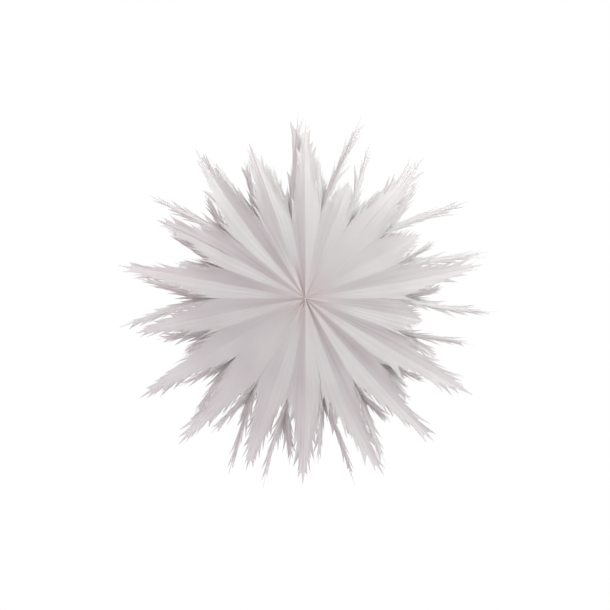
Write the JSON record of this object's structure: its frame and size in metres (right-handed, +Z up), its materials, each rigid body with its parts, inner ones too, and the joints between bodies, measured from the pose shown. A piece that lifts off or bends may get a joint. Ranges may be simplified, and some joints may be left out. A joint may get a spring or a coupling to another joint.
{
  "type": "folding paper star",
  "caption": "Hanging paper star of gusseted paper bags glued side by side, with feather-cut points; it folds flat like a fan and closes with hidden magnets.",
  "frame": {"origin": "middle of the hub, on the star's axis, half way between front and rear", "axes": "+Y along the star's axis, from front to rear; +Z up to the top bag; +X to the right as seen from the front"},
  "size_m": [0.45, 0.0382, 0.4528],
  "materials": {
    "white_paper": "uncoated matt white paper",
    "card": "plain white board",
    "magnet": "nickel plated"
  },
  "bodies": {
    "bag_01": {"bag_01": "white_paper"},
    "bag_02": {"bag_02": "white_paper"},
    "bag_03": {"bag_03": "white_paper"},
    "bag_04": {"bag_04": "white_paper"},
    "bag_05": {"bag_05": "white_paper"},
    "bag_06": {"bag_06": "white_paper"},
    "bag_07": {"bag_07": "white_paper"},
    "bag_08": {"bag_08": "white_paper"},
    "bag_09": {"bag_09": "white_paper"},
    "bag_10": {"bag_10": "white_paper"},
    "bag_11": {"bag_11": "white_paper"},
    "bag_12": {"bag_12": "white_paper"},
    "bag_13": {"bag_13": "white_paper"},
    "bag_14": {"bag_14": "white_paper"},
    "bag_15": {"bag_15": "white_paper"},
    "bag_16": {"bag_16": "white_paper"},
    "bag_17": {"bag_17": "white_paper"},
    "bag_18": {"bag_18": "white_paper"},
    "clasp_first": {"closing_strip_first": "card", "closure_magnets_first": "magnet"},
    "clasp_last": {"closing_strip_last": "card", "closure_magnets_last": "magnet"}
  },
  "joints": [
    {"name": "fold_02", "type": "hinge", "parent": "bag_01", "child": "bag_02", "pos_m": [0, 0, 0], "axis": [0, 1, 0], "range_deg": [-19.5, 0], "deforming": ["bag_01", "bag_02"]},
    {"name": "fold_03", "type": "hinge", "parent": "bag_02", "child": "bag_03", "pos_m": [0, 0, 0], "axis": [0, 1, 0], "range_deg": [-19.5, 0], "deforming": ["bag_03"]},
    {"name": "fold_04", "type": "hinge", "parent": "bag_03", "child": "bag_04", "pos_m": [0, 0, 0], "axis": [0, 1, 0], "range_deg": [-19.5, 0], "deforming": ["bag_04"]},
    {"name": "fold_05", "type": "hinge", "parent": "bag_04", "child": "bag_05", "pos_m": [0, 0, 0], "axis": [0, 1, 0], "range_deg": [-19.5, 0], "deforming": ["bag_05"]},
    {"name": "fold_06", "type": "hinge", "parent": "bag_05", "child": "bag_06", "pos_m": [0, 0, 0], "axis": [0, 1, 0], "range_deg": [-19.5, 0], "deforming": ["bag_06"]},
    {"name": "fold_07", "type": "hinge", "parent": "bag_06", "child": "bag_07", "pos_m": [0, 0, 0], "axis": [0, 1, 0], "range_deg": [-19.5, 0], "deforming": ["bag_07"]},
    {"name": "fold_08", "type": "hinge", "parent": "bag_07", "child": "bag_08", "pos_m": [0, 0, 0], "axis": [0, 1, 0], "range_deg": [-19.5, 0], "deforming": ["bag_08"]},
    {"name": "fold_09", "type": "hinge", "parent": "bag_08", "child": "bag_09", "pos_m": [0, 0, 0], "axis": [0, 1, 0], "range_deg": [-19.5, 0], "deforming": ["bag_09"]},
    {"name": "fold_10", "type": "hinge", "parent": "bag_09", "child": "bag_10", "pos_m": [0, 0, 0], "axis": [0, 1, 0], "range_deg": [-19.5, 0], "deforming": ["bag_10"]},
    {"name": "fold_18", "type": "hinge", "parent": "bag_01", "child": "bag_18", "pos_m": [0, 0, 0], "axis": [0, 1, 0], "range_deg": [0, 19.5], "deforming": ["bag_18"]},
    {"name": "fold_17", "type": "hinge", "parent": "bag_18", "child": "bag_17", "pos_m": [0, 0, 0], "axis": [0, 1, 0], "range_deg": [0, 19.5], "deforming": ["bag_17"]},
    {"name": "fold_16", "type": "hinge", "parent": "bag_17", "child": "bag_16", "pos_m": [0, 0, 0], "axis": [0, 1, 0], "range_deg": [0, 19.5], "deforming": ["bag_16"]},
    {"name": "fold_15", "type": "hinge", "parent": "bag_16", "child": "bag_15", "pos_m": [0, 0, 0], "axis": [0, 1, 0], "range_deg": [0, 19.5], "deforming": ["bag_15"]},
    {"name": "fold_14", "type": "hinge", "parent": "bag_15", "child": "bag_14", "pos_m": [0, 0, 0], "axis": [0, 1, 0], "range_deg": [0, 19.5], "deforming": ["bag_14"]},
    {"name": "fold_13", "type": "hinge", "parent": "bag_14", "child": "bag_13", "pos_m": [0, 0, 0], "axis": [0, 1, 0], "range_deg": [0, 19.5], "deforming": ["bag_13"]},
    {"name": "fold_12", "type": "hinge", "parent": "bag_13", "child": "bag_12", "pos_m": [0, 0, 0], "axis": [0, 1, 0], "range_deg": [0, 19.5], "deforming": ["bag_12"]},
    {"name": "fold_11", "type": "hinge", "parent": "bag_12", "child": "bag_11", "pos_m": [0, 0, 0], "axis": [0, 1, 0], "range_deg": [0, 19.5], "deforming": ["bag_11"]},
    {"name": "strip_fold_first", "type": "hinge", "parent": "bag_10", "child": "clasp_first", "pos_m": [0, 0, 0], "axis": [0, 1, 0], "range_deg": [-9.75, 0]},
    {"name": "strip_fold_last", "type": "hinge", "parent": "bag_11", "child": "clasp_last", "pos_m": [0, 0, 0], "axis": [0, 1, 0], "range_deg": [0, 9.75]}
  ],
  "couplings": [
    {"joint": "fold_03", "follows": "fold_02", "ratio": 1},
    {"joint": "fold_04", "follows": "fold_02", "ratio": 1},
    {"joint": "fold_05", "follows": "fold_02", "ratio": 1},
    {"joint": "fold_06", "follows": "fold_02", "ratio": 1},
    {"joint": "fold_07", "follows": "fold_02", "ratio": 1},
    {"joint": "fold_08", "follows": "fold_02", "ratio": 1},
    {"joint": "fold_09", "follows": "fold_02", "ratio": 1},
    {"joint": "fold_10", "follows": "fold_02", "ratio": 1},
    {"joint": "fold_18", "follows": "fold_02", "ratio": -1},
    {"joint": "fold_17", "follows": "fold_02", "ratio": -1},
    {"joint": "fold_16", "follows": "fold_02", "ratio": -1},
    {"joint": "fold_15", "follows": "fold_02", "ratio": -1},
    {"joint": "fold_14", "follows": "fold_02", "ratio": -1},
    {"joint": "fold_13", "follows": "fold_02", "ratio": -1},
    {"joint": "fold_12", "follows": "fold_02", "ratio": -1},
    {"joint": "fold_11", "follows": "fold_02", "ratio": -1},
    {"joint": "strip_fold_first", "follows": "fold_02", "ratio": 0.5},
    {"joint": "strip_fold_last", "follows": "fold_02", "ratio": -0.5}
  ]
}
